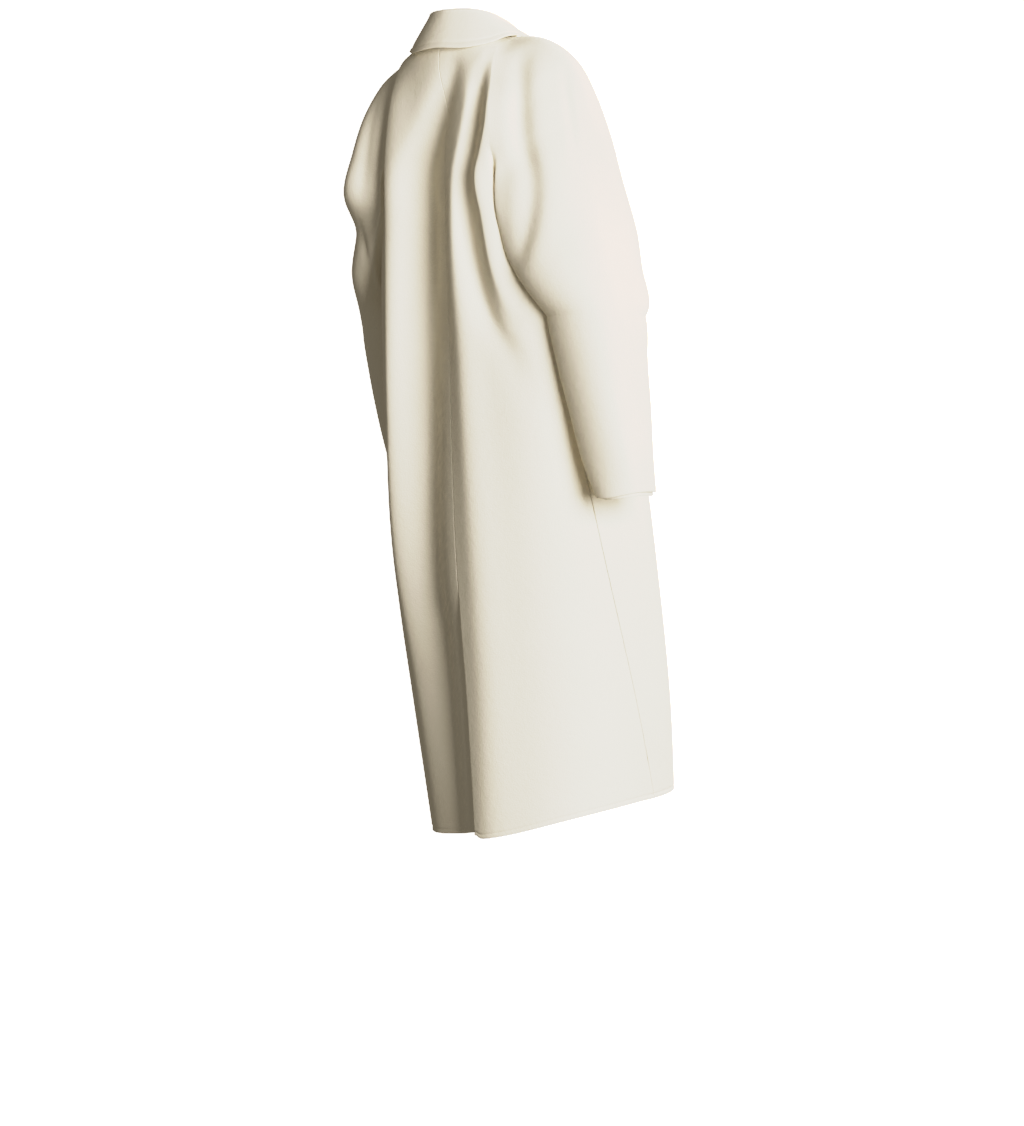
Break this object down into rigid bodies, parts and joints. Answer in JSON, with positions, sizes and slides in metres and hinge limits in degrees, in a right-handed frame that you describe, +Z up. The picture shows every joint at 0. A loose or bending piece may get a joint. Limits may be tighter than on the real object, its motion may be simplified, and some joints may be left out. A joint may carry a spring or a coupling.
{
  "type": "double-breasted coat",
  "caption": "Long ivory felted-wool coat in worn form: raglan sleeves, turn-down collar with lapels, lapped double-breasted front, back vent; hollow cloth walls.",
  "frame": {"origin": "middle of the neck opening, level with the collar seam at the centre back, where the shoulders that wear the coat hold it up", "axes": "+Z up, -Y the way the front faces, +X the wearer's left"},
  "size_m": [0.6679, 0.4703, 1.3231],
  "materials": {
    "wool": "felted double-faced wool, matt with a short nap",
    "button": "horn-like, satin"
  },
  "bodies": {
    "root": {"back_left": "wool", "back_right": "wool", "front_left": "wool", "front_right": "wool", "sleeve_left": "wool", "sleeve_right": "wool", "collar": "wool", "lapel_left": "wool", "lapel_right": "wool", "cuff_facing_left": "wool", "cuff_facing_right": "wool", "button_1": "button", "button_2": "button", "button_3": "button", "button_4": "button", "button_5": "button", "button_6": "button"}
  },
  "joints": []
}
